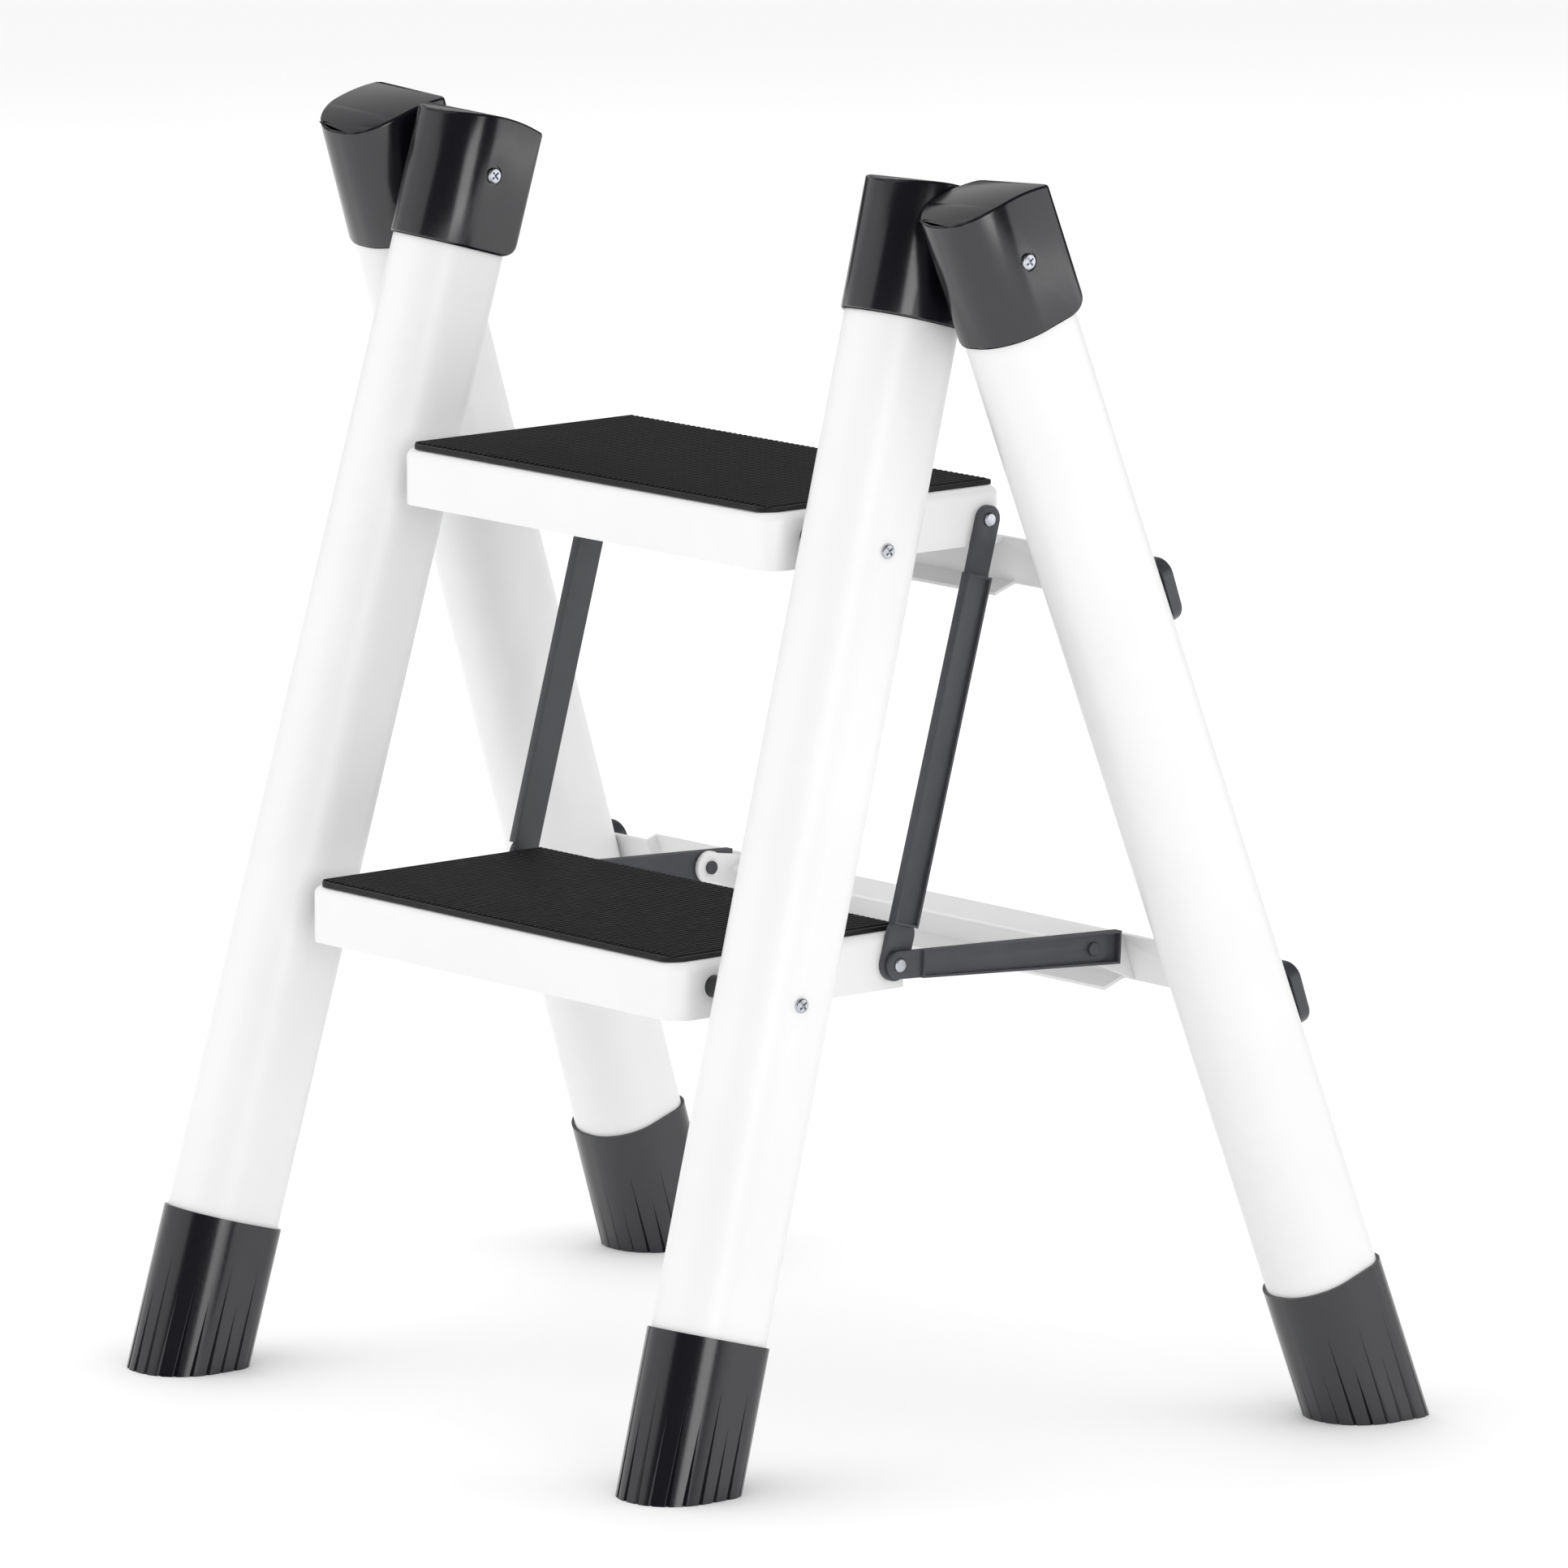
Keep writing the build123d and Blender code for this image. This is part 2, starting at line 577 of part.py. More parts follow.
def cover_body(inset):
    """A square block with round corners and a rounded rim, drawn in by inset."""
    height = COVER_HEIGHT - inset
    width = COVER_WIDTH - 2 * inset
    block = Pos(0, 0, height / 2) * Box(width, width, height)
    block = fillet(block.edges().filter_by(Axis.Z), COVER_CORNER - inset)
    return fillet(block.edges().group_by(Axis.Z)[-1], COVER_EDGE - inset)


def bolt_cover(side, middle):
    """A hollow cover over the bolt head."""
    return at_bar_bolt(side, middle, cover_body(0) - cover_body(COVER_WALL))


def link_lug():
    """An ear on the lower crossbar that carries the spread link's rear pivot."""
    eye_y, eye_z = in_bar_plane(*spread_pivot())
    middle = lower_bar_middle()
    corners = [
        (eye_y, eye_z - LUG_EYE),
        (WEB_FACE, middle - BAR_HEIGHT / 2),
        (WEB_FACE, middle + BAR_HEIGHT / 2),
        (eye_y, eye_z + LUG_EYE),
    ]
    ear = make_face(Polyline(*corners, close=True)) + Pos(eye_y, eye_z) * Circle(LUG_EYE)
    x = SPREAD_X - LINK_GAP - LUG_SHEET
    plane = Plane((x, 0, 0), x_dir=(0, 1, 0), z_dir=(1, 0, 0))
    lug = bar_plane().location * extrude(plane * ear, LUG_SHEET)
    return lug - rod(RIVET_DIAMETER, x - LUG_SHEET, x + 2 * LUG_SHEET, *spread_pivot())


# ---- all pieces ----

def both_sides(make, *sizes):
    return [make(side, *sizes) for side in (-1, 1)]


def mirrored(shape):
    """The same piece on the left."""
    return mirror(shape, about=Plane.YZ)


def pair(shape):
    return [mirrored(shape), shape]


def write(name, pieces):
    solids = []
    for piece in pieces:
        solids += piece.solids()
    node = solids[0] if len(solids) == 1 else Compound(children=solids)
    export_step(node, os.path.join("parts", name + ".step"))


def write_sides(name, pieces):
    for side_name, piece in zip(("left", "right"), pieces):
        write(name + "_" + side_name, [piece])


def build():
    os.makedirs("parts", exist_ok=True)

    write_sides("front_leg", both_sides(front_leg))
    write_sides("rear_leg", both_sides(rear_leg))
    write_sides("front_cap", both_sides(front_cap))
    write_sides("rear_cap", both_sides(rear_cap))
    write_sides("front_foot", [foot_sleeve(front_leg_line(side)) for side in (-1, 1)])
    write_sides("rear_foot", [foot_sleeve(rear_leg_line(side)) for side in (-1, 1)])

    write("hinge_barrels", both_sides(hinge_barrel))
    write("hinge_screws", both_sides(hinge_screw))
    write("hinge_washers", both_sides(hinge_washer))

    for step, height in (("upper", UPPER_PIVOT_Z), ("lower", LOWER_PIVOT_Z)):
        write(step + "_tread_tray", [tray(height)])
        write(step + "_tread_mat", [mat(height)])
        write(step + "_pivot_screws", both_sides(pivot_screw, height))
        write(step + "_pivot_spacers", both_sides(pivot_spacer, height))
        write(step + "_pivot_nuts", both_sides(pivot_nut, height))

    write("upper_link_rivets", pair(upper_link_rivet()))
    write("lower_link_rivets", pair(lower_link_rivet()))
    write_sides("lift_link", pair(lift_link()))
    write_sides("spread_link", pair(spread_link()))
    write_sides("spread_rivet", pair(spread_front_rivet()))
    write("lug_rivets", pair(spread_rear_rivet()))
    write_sides("link_lug", pair(link_lug()))

    middles = (upper_bar_middle(), lower_bar_middle())
    write("upper_crossbar", [crossbar(middles[0])])
    write("lower_crossbar", [crossbar(middles[1])])
    write("crossbar_bolts", [bar_bolt(side, middle) for middle in middles for side in (-1, 1)])
    write("crossbar_nuts", [bar_nut(side, middle) for middle in middles for side in (-1, 1)])
    write("crossbar_covers", [bolt_cover(side, middle) for middle in middles for side in (-1, 1)])


build()
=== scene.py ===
import json
import math

import bmesh
import bpy
from bpy.props import FloatProperty, FloatVectorProperty, IntProperty, PointerProperty
from mathutils import Matrix, Vector


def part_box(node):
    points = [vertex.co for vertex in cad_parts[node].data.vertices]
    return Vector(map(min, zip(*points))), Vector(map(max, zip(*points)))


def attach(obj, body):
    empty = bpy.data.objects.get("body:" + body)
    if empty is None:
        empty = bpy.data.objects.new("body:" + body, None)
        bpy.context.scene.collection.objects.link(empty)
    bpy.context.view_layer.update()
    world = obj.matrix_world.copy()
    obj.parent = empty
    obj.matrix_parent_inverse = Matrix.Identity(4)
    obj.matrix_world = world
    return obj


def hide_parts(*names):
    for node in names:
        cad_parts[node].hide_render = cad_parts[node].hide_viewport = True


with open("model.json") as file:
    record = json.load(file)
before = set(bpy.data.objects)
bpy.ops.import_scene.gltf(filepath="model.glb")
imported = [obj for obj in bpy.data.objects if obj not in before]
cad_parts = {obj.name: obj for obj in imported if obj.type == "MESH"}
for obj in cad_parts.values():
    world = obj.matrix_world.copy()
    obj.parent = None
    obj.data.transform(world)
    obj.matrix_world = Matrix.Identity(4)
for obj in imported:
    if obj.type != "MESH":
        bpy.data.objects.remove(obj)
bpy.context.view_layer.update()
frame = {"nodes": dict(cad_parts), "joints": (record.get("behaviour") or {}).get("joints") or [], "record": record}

bl_info = {
    "name": "Two-step folding stool",
    "version": (1, 0, 0),
    "blender": (4, 5, 0),
    "location": "3D Viewport > Sidebar > Stool",
    "description": "Finishes the moulded, pressed and coated pieces of a folding step stool",
    "category": "Object",
}

MM = 0.001
NEAR = 0.25 * MM          # closer than this to a plane counts as on it
SIDES = (("left", -1), ("right", 1))
STEPS = ("upper", "lower")


# ---- measures read from the frame ----

def joint_place(name):
    """Where a joint's axis crosses the middle plane, as y and z."""
    place = next(joint["pos_m"] for joint in frame["joints"] if joint["name"] == name)
    return Vector((0, place[1], place[2]))


def mount_place(name):
    """Where a mount of the record is."""
    mounts = frame["record"]["mounts"]
    return Vector(next(mount["pos_m"] for mount in mounts if mount["name"] == name))


HINGE = joint_place("fold")
TREAD_PIVOT = {step: joint_place(step + "_tread_tilt") for step in STEPS}
UPPER_LINK_PIN = joint_place("lift_link_right_swing")
LOWER_LINK_PIN = UPPER_LINK_PIN + TREAD_PIVOT["lower"] - TREAD_PIVOT["upper"]
SPREAD_PIN = joint_place("spread_link_right_swing")


# ---- measures that the frame doesn't give ----

HINGE_X = {"front": 187 * MM, "rear": 251.3 * MM}
SLEEVE_HALF = 29 * MM
SLEEVE_FRONT_CORNER = 27 * MM
SLEEVE_REAR_CORNER = 14 * MM
MAT_FRONT_CORNER = 10 * MM
MAT_REAR_CORNER = 4 * MM


# ---- colour ----

def srgb(code):
    """Linear red, green and blue of a hex colour."""
    channels = (int(code[i:i + 2], 16) / 255 for i in (1, 3, 5))
    return tuple(c / 12.92 if c <= 0.04045 else ((c + 0.055) / 1.055) ** 2.4 for c in channels)


def colour_setting(name, description, code):
    return FloatVectorProperty(name=name, description=description, subtype="COLOR", size=3,
                               min=0.0, max=1.0, default=srgb(code))


def length_setting(name, description, default):
    return FloatProperty(name=name, description=description, unit="LENGTH", min=0.0, default=default)


class StoolColours(bpy.types.PropertyGroup):
    """Colours of the stool's finishes."""

    enamel: colour_setting("Powder coat", "Legs, trays and crossbars", "#e5e5e5")
    moulding: colour_setting("Mouldings", "Caps and feet", "#111118")
    link: colour_setting("Links", "Coated link bars", "#404146")
    mat: colour_setting("Mats", "Ribbed tread mats", "#050506")
    # The rib tops are lighter partly from wear and partly as a painted highlight where they catch the light.
    mat_wear_and_highlight: colour_setting("Mat wear and highlight", "Tops of the mats' ribs", "#252528")
    cover: colour_setting("Bolt covers", "Covers on the rear legs", "#38393e")
    zinc: colour_setting("Zinc plate", "Screws and rivets", "#c9ccd1")
    nylon: colour_setting("Bushes", "Washers and spacers", "#202123")
    floor: colour_setting("Floor", "Studio floor", "#fbfbfb")


class StoolSizes(bpy.types.PropertyGroup):
    """Sizes of the details that the frame leaves plain."""

    moulding_edge: length_setting("Moulding edge", "Radius of a moulding's outer edges", 1.4 * MM)
    press_edge: length_setting("Pressed edge", "Radius of a folded sheet's edges", 0.5 * MM)
    flute_width: length_setting("Flute width", "Width of a foot's flute at the floor", 3.0 * MM)
    flute_height: length_setting("Flute height", "Height of the longest flute", 60 * MM)
    flutes: IntProperty(name="Flutes", description="Flutes around each foot", min=4, default=22)
    rib_pitch: length_setting("Rib pitch", "From one mat rib to the next", 4.4 * MM)
    rib_height: length_setting("Rib height", "Height of a mat's ribs", 1.0 * MM)
    mat_border: length_setting("Mat border", "Plain border around the ribs", 3.2 * MM)
    channel_depth: length_setting("Channel depth", "Depth of a link's flanges", 5.4 * MM)
    channel_wall: length_setting("Channel wall", "Thickness of a link's flanges", 1.3 * MM)
    recess_length: length_setting("Recess length", "Span of a screw's cross recess", 5.4 * MM)
    recess_width: length_setting("Recess width", "Width of a recess slot", 1.2 * MM)


def sizes():
    return bpy.context.scene.stool_sizes


def colours():
    return bpy.context.scene.stool_colours


# ---- materials ----

def add_node(tree, kind, values, **settings):
    """Add a node. A value that is a socket is linked to its input, and any other is set on it."""
    node = tree.nodes.new(kind)
    for name, setting in settings.items():
        setattr(node, name, setting)
    for name, value in values.items():
        if isinstance(value, bpy.types.NodeSocket):
            tree.links.new(value, node.inputs[name])
        else:
            node.inputs[name].default_value = value
    return node


def cells(size):
    """Noise scale that gives cells of a real size on Object coordinates."""
    return 1 / size


def finish_material(name, colour, shade, roughness, rough_spread, grain, grain_relief, drift,
                    stretch=(1, 1, 1), **constants):
    """A surface with a drifting colour and gloss over `drift` metres and a fine relief of `grain`
    metres. `shade` is how far the colour darkens, and `stretch` draws the grain out along an axis."""
    material = bpy.data.materials.get(name)
    if material:
        return material
    material = bpy.data.materials.new(name)
    material.use_nodes = True
    tree = material.node_tree
    shader = tree.nodes["Principled BSDF"]
    for socket, value in constants.items():
        shader.inputs[socket.replace("_", " ")].default_value = value

    place = add_node(tree, "ShaderNodeTexCoord", {}).outputs["Object"]
    drawn = add_node(tree, "ShaderNodeMapping", {"Vector": place, "Scale": stretch}).outputs["Vector"]
    patches = add_node(tree, "ShaderNodeTexNoise",
                       {"Vector": place, "Scale": cells(drift), "Detail": 3.0, "Roughness": 0.55})
    fine = add_node(tree, "ShaderNodeTexNoise",
                    {"Vector": drawn, "Scale": cells(grain), "Detail": 2.0, "Roughness": 0.5})

    dark = tuple(c * (1 - shade) for c in colour) + (1,)
    tint = add_node(tree, "ShaderNodeMapRange", {"Value": patches.outputs["Fac"],
                                                 "From Min": 0.35, "From Max": 0.65})
    mixed = add_node(tree, "ShaderNodeMix",
                     {0: tint.outputs["Result"], 6: tuple(colour) + (1,), 7: dark}, data_type="RGBA")
    tree.links.new(mixed.outputs[2], shader.inputs["Base Color"])

    gloss = add_node(tree, "ShaderNodeMapRange",
                     {"Value": fine.outputs["Fac"], "From Min": 0.3, "From Max": 0.7,
                      "To Min": roughness - rough_spread, "To Max": roughness + rough_spread})
    tree.links.new(gloss.outputs["Result"], shader.inputs["Roughness"])

    relief = add_node(tree, "ShaderNodeBump", {"Height": fine.outputs["Fac"], "Strength": 1.0,
                                               "Distance": grain_relief})
    tree.links.new(relief.outputs["Normal"], shader.inputs["Normal"])
    return material


def powder_coat():
    """Polyester powder coat on steel: baked on, so it flows into a faint orange peel with cells of
    about 2 mm, which softens the highlight without hiding it."""
    return finish_material("white_powder_coat", colours().enamel, shade=0.02, roughness=0.36,
                           rough_spread=0.04, grain=2 * MM, grain_relief=0.02 * MM,
                           drift=60 * MM, IOR=1.5)


def link_coat():
    """Dark textured powder coat on flat bar: a tighter, rougher peel of about 0.8 mm, so the bar
    looks satin grey."""
    return finish_material("dark_powder_coat", colours().link, shade=0.15, roughness=0.42,
                           rough_spread=0.06, grain=0.8 * MM, grain_relief=0.03 * MM,
                           drift=25 * MM, IOR=1.5)


def moulded_plastic():
    """Injection-moulded plastic from a polished tool, with a clear gloss skin that reflects more
    than the plain polymer: near black, with faint flow marks that run down the piece. The real
    grain is finer than 0.1 mm and is drawn at 0.7 mm, so that it shows."""
    return finish_material("moulded_polypropylene", colours().moulding, shade=0.12, roughness=0.2,
                           rough_spread=0.03, grain=0.7 * MM, grain_relief=0.006 * MM, drift=18 * MM,
                           stretch=(1, 1, 0.25), IOR=1.7)


def cover_plastic():
    """Moulded ABS with a light spark-eroded texture: satin, a touch lighter than the mouldings."""
    return finish_material("moulded_abs", colours().cover, shade=0.1, roughness=0.34,
                           rough_spread=0.05, grain=0.6 * MM, grain_relief=0.012 * MM,
                           drift=10 * MM, IOR=1.53)


def mat_rubber():
    """Calendered rubber: matt black with fine bloom that greys it in patches. Grain of 0.5 mm is
    coarser than the real talc texture, so that it shows."""
    known = "calendered_rubber" in bpy.data.materials
    material = finish_material("calendered_rubber", colours().mat, shade=0.3, roughness=0.62,
                               rough_spread=0.08, grain=0.5 * MM, grain_relief=0.03 * MM,
                               drift=30 * MM, IOR=1.52)
    if not known:
        # Lighten the rib tops: partly wear, partly a painted highlight.
        lighten_tops_for_wear_and_highlight(material, colours().mat_wear_and_highlight)
    return material


def lighten_tops_for_wear_and_highlight(material, worn_and_lit):
    """Lighten the faces that look up, partly for wear where feet rub them and partly as a painted highlight where
    the rib tops catch the light, and leave the rib sides dark.
    """
    tree = material.node_tree
    base = tree.nodes["Principled BSDF"].inputs["Base Color"]
    # Up-facing faces get the lighter colour: wear plus a painted highlight on the rib tops.
    facing = add_node(tree, "ShaderNodeTexCoord", {}).outputs["Normal"]
    up = add_node(tree, "ShaderNodeSeparateXYZ", {"Vector": facing}).outputs["Z"]
    top = add_node(tree, "ShaderNodeMapRange", {"Value": up, "From Min": 0.8, "From Max": 1.0})
    mixed = add_node(tree, "ShaderNodeMix", {0: top.outputs["Result"], 6: base.links[0].from_socket,
                                             7: tuple(worn_and_lit) + (1,)}, data_type="RGBA")
    tree.links.new(mixed.outputs[2], base)


def zinc_plate():
    """Bright zinc on cold-headed steel: light, cool metal with fine turned marks across the axis."""
    return finish_material("bright_zinc_plate", colours().zinc, shade=0.12, roughness=0.3,
                           rough_spread=0.08, grain=0.4 * MM, grain_relief=0.006 * MM, drift=3 * MM,
                           stretch=(4, 1, 1), Metallic=1.0)


def nylon():
    """Moulded nylon: dark and slightly waxy, with soft wide highlights."""
    return finish_material("moulded_nylon", colours().nylon, shade=0.1, roughness=0.45,
                           rough_spread=0.05, grain=0.5 * MM, grain_relief=0.01 * MM,
                           drift=8 * MM, IOR=1.53)


# ---- working on a piece ----

def clear_selection():
    bpy.ops.object.select_all(action="DESELECT")


def work_on(piece):
    clear_selection()
    piece.select_set(True)
    bpy.context.view_layer.objects.active = piece


def apply_place(piece):
    work_on(piece)
    bpy.ops.object.transform_apply(location=True, rotation=True, scale=True)


def pick(piece, kind, wanted):
    """In edit mode, select just the verts, edges or faces for which wanted() is true."""
    bpy.ops.mesh.select_mode(type=kind)
    mesh = bmesh.from_edit_mesh(piece.data)
    mesh.select_mode = {kind}
    for part in list(mesh.faces) + list(mesh.edges) + list(mesh.verts):
        part.select = False
    mesh.faces.ensure_lookup_table()
    pool = {"VERT": mesh.verts, "EDGE": mesh.edges, "FACE": mesh.faces}[kind]
    for part in [part for part in pool if wanted(part)]:
        part.select = True
    mesh.select_flush_mode()
    bmesh.update_edit_mesh(piece.data)


def middle_of(edge):
    """The point halfway along an edge."""
    return (edge.verts[0].co + edge.verts[1].co) / 2


def is_sharp(edge, degrees=30):
    """Whether an edge's two faces turn by more than this."""
    return len(edge.link_faces) == 2 and edge.calc_face_angle(0) > math.radians(degrees)


def smooth(piece, degrees=32):
    work_on(piece)
    bpy.ops.object.shade_smooth_by_angle(angle=math.radians(degrees))


def copy_of(node, name):
    """A copy of a CAD node's mesh as one clean skin: doubles merged and flat faces made whole."""
    piece = bpy.data.objects.new(name, frame["nodes"][node].data.copy())
    bpy.context.scene.collection.objects.link(piece)
    work_on(piece)
    if piece.data.has_custom_normals:
        bpy.ops.mesh.customdata_custom_splitnormals_clear()
    bpy.ops.object.mode_set(mode="EDIT")
    bpy.ops.mesh.select_all(action="SELECT")
    bpy.ops.mesh.remove_doubles(threshold=0.002 * MM)
    bpy.ops.mesh.dissolve_limited(angle_limit=math.radians(0.3))
    bpy.ops.object.mode_set(mode="OBJECT")
    return piece


def round_edges(piece, radius, wanted, steps=3):
    """Round the sharp edges for which wanted(middle of the edge) is true."""
    work_on(piece)
    bpy.ops.object.mode_set(mode="EDIT")
    pick(piece, "EDGE", lambda edge: is_sharp(edge) and wanted(middle_of(edge)))
    bpy.ops.mesh.bevel(offset=radius, segments=steps, affect="EDGES", clamp_overlap=False)
    bpy.ops.object.mode_set(mode="OBJECT")


def boolean(piece, tool, operation):
    """Join or cut one piece with another, and remove the tool."""
    change = piece.modifiers.new(operation.lower(), "BOOLEAN")
    change.operation = operation
    change.solver = "EXACT"
    change.object = tool
    work_on(piece)
    bpy.ops.object.modifier_apply(modifier=change.name)
    bpy.data.objects.remove(tool)


def join(pieces):
    """Make the first piece hold all the others as separate shells."""
    clear_selection()
    for piece in pieces:
        piece.select_set(True)
    bpy.context.view_layer.objects.active = pieces[0]
    bpy.ops.object.join()
    return pieces[0]


def hand_over(piece, body, slot, material, *nodes):
    """Give a finished piece its material and its body, and hide the CAD nodes that it stands for."""
    piece.data.materials.clear()
    piece.data.materials.append(material)
    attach(piece, body)
    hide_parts(*nodes)


def block(centre, extent, tilt=0.0):
    """A box with its faces outwards, turned about X by tilt."""
    clear_selection()
    bpy.ops.mesh.primitive_cube_add(size=1, location=centre, rotation=(tilt, 0, 0), scale=extent)
    piece = bpy.context.object
    apply_place(piece)
    return piece


# ---- legs ----

def make_leg(body, name):
    """The tube as one smooth skin with clean drilled holes."""
    leg = copy_of(name, name + "_tube")
    smooth(leg)
    hand_over(leg, body, "leg_paint", powder_coat(), name)


# ---- caps ----

def make_cap(body, name):
    """A moulded cap: rounded outer edges all round, with the seats at the hinge left crisp."""
    cap = copy_of(name, name + "_moulding")
    seat_radius = 12 * MM

    def on_outside(point):
        return math.hypot(point.y - HINGE.y, point.z - HINGE.z) > seat_radius

    round_edges(cap, sizes().moulding_edge, on_outside)
    smooth(cap, 40)
    hand_over(cap, body, "cap_plastic", moulded_plastic(), name)


# ---- feet ----

def skin_point(turn):
    """Point on a foot's outline, at a turn around it: round to the front, tighter at the rear."""
    outward = Vector((math.cos(turn), math.sin(turn), 0))
    corner = SLEEVE_FRONT_CORNER if outward.y > 0 else SLEEVE_REAR_CORNER
    flat = SLEEVE_HALF - corner
    centre = Vector((math.copysign(flat, outward.x), math.copysign(flat, outward.y), 0))
    return centre + outward * corner


def outline_spots(count):
    """Evenly spaced points on a foot's outline, each with the turn that it faces."""
    turns = [2 * math.pi * (step + 0.5) / 360 for step in range(361)]
    points = [skin_point(turn) for turn in turns]
    reach = [0.0]
    for near, far in zip(points, points[1:]):
        reach.append(reach[-1] + (far - near).length)
    spots = []
    for index in range(count):
        wanted = reach[-1] * (index + 0.5) / count
        before = max(step for step, length in enumerate(reach) if length <= wanted)
        part = (wanted - reach[before]) / (reach[before + 1] - reach[before])
        spots.append((points[before].lerp(points[before + 1], part), turns[before]))
    return spots


def leg_line(end, side):
    """A leg's own axes at its sole: z up the leg, x across the stool."""
    sole = mount_place("foot_sole_%s_%s" % (end, side))
    across = HINGE_X[end] * (-1 if side == "left" else 1)
    up = (Vector((across, HINGE.y, HINGE.z)) - sole).normalized()
    side_on = Vector((1, 0, 0))
    front = up.cross(side_on).normalized() * -1
    side_on = front.cross(up)
    axes = Matrix((side_on, front, up)).transposed().to_4x4()
    return Matrix.Translation(sole) @ axes


def make_foot(body, end, side):
    """A sleeve with long tapered flutes that start at the floor, longer and shorter by turns."""
    name = "%s_foot_%s" % (end, side)
    foot = copy_of(name, name + "_moulding")
    line = leg_line(end, side)
    start = -12 * MM
    short = 0.68
    for index, (point, turn) in enumerate(outline_spots(sizes().flutes)):
        height = sizes().flute_height * (1.0 if index % 2 else short)
        clear_selection()
        bpy.ops.mesh.primitive_cone_add(vertices=4, radius1=sizes().flute_width / 2, radius2=0,
                                        depth=height - start, location=(0, 0, 0))
        flute = bpy.context.object
        facing = Matrix.Rotation(turn, 4, "Z")
        lift = Matrix.Translation(point + Vector((0, 0, (height + start) / 2)))
        flute.matrix_world = line @ lift @ facing
        apply_place(flute)
        boolean(foot, flute, "DIFFERENCE")
    smooth(foot, 28)
    hand_over(foot, body, "foot_plastic", moulded_plastic(), name)


# ---- treads ----

def make_tray(step):
    """The pressed tray, smooth over its rounded edge."""
    name = step + "_tread_tray"
    tray = copy_of(name, name + "_pressing")
    smooth(tray, 35)
    hand_over(tray, step + "_tread", "tray_paint", powder_coat(), name)


def make_mat(step):
    """A rubber mat: a slab with round front corners and fine ribs from front to back."""
    name = step + "_tread_mat"
    low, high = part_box(name)
    rib = sizes().rib_height
    rim = 0.6 * MM
    top = high.z - rib

    slab = block((low + Vector((high.x, high.y, top))) / 2,
                 (high.x - low.x, high.y - low.y, top - low.z))
    slab.name = name + "_ribbed"
    bpy.ops.object.mode_set(mode="EDIT")
    for y, radius in ((low.y, MAT_FRONT_CORNER), (high.y, MAT_REAR_CORNER)):
        pick(slab, "EDGE", lambda edge: abs(middle_of(edge).y - y) < 1e-5
             and abs(edge.verts[0].co.z - edge.verts[1].co.z) > 1e-4)
        bpy.ops.mesh.bevel(offset=radius, segments=10, affect="EDGES", clamp_overlap=False)
    pick(slab, "EDGE", lambda edge: is_sharp(edge, 60)
         and min(vert.co.z for vert in edge.verts) > top - 1e-5)
    bpy.ops.mesh.bevel(offset=rim, segments=2, affect="EDGES", clamp_overlap=False)
    bpy.ops.object.mode_set(mode="OBJECT")

    border = sizes().mat_border
    width = high.x - low.x - 2 * border
    depth = high.y - low.y - 2 * border
    strips = 2 * round(width / sizes().rib_pitch) + 1
    sunk = 0.3 * MM
    flank = 0.65 * rib
    clear_selection()
    bpy.ops.mesh.primitive_grid_add(x_subdivisions=strips, y_subdivisions=1, size=1,
                                    location=((low.x + high.x) / 2, (low.y + high.y) / 2, top - sunk))
    ribs = bpy.context.object
    ribs.scale = (width, depth, 1)
    apply_place(ribs)
    step_x = width / strips
    bpy.ops.object.mode_set(mode="EDIT")
    pick(ribs, "FACE", lambda face: int((face.calc_center_median().x - low.x - border) / step_x) % 2 == 1)
    bpy.ops.mesh.delete(type="FACE")
    bpy.ops.mesh.select_all(action="SELECT")
    bpy.ops.mesh.extrude_region_move(TRANSFORM_OT_translate={"value": (0, 0, sunk + flank)})
    pick(ribs, "FACE", lambda face: face.calc_center_median().z > top + flank * 0.98
         and face.normal.z > 0.5)
    bpy.ops.mesh.inset(thickness=step_x * 0.25, depth=rib - flank, use_individual=True)
    bpy.ops.mesh.select_all(action="SELECT")
    bpy.ops.mesh.normals_make_consistent(inside=False)
    bpy.ops.object.mode_set(mode="OBJECT")

    mat = join([slab, ribs])
    smooth(mat, 35)
    hand_over(mat, step + "_tread", "mat_rubber", mat_rubber(), name)


# ---- screws and rivets ----

def head_face(piece, side, outer):
    """x of a head's outside face, on one side of the stool."""
    reach = [vert.co.x * side for vert in piece.data.vertices if vert.co.x * side > 0]
    return side * (max(reach) if outer else min(reach))


def cut_cross(piece, face, place):
    """Cut a cross recess into a head whose face looks along X."""
    length = sizes().recess_length
    width = sizes().recess_width
    depth = 2.2 * MM
    turn = math.radians(38)
    for quarter in (0, math.pi / 2):
        bar = block(Vector((face, place.y, place.z)), (depth, length, width), turn + quarter)
        boolean(piece, bar, "DIFFERENCE")


def make_screws(body, node, place, outer):
    """Pan-head screws, domed at the rim, with a cross recess in each head."""
    screws = copy_of(node, node + "_pan_head")
    dome = 1.1 * MM
    for side in (-1, 1):
        face = head_face(screws, side, outer)
        round_edges(screws, dome, lambda point: abs(point.x - face) < NEAR, 4)
    for side in (-1, 1):
        cut_cross(screws, head_face(screws, side, outer), place)
    smooth(screws, 30)
    hand_over(screws, body, "zinc_steel", zinc_plate(), node)


def make_rivets(body, node, slot, material, sides=(-1, 1)):
    """Rivets with their heads closed to a low dome."""
    rivets = copy_of(node, node + "_domed")
    dome = 0.9 * MM
    for side in sides:
        face = head_face(rivets, side, True)
        round_edges(rivets, dome, lambda point: abs(point.x - face) < NEAR, 4)
    smooth(rivets, 30)
    hand_over(rivets, body, slot, material, node)


def make_turned(body, node, slot, material):
    """A washer, bush, bolt or nut as one smooth skin."""
    piece = copy_of(node, node + "_turned")
    smooth(piece, 30)
    hand_over(piece, body, slot, material, node)


# ---- links ----

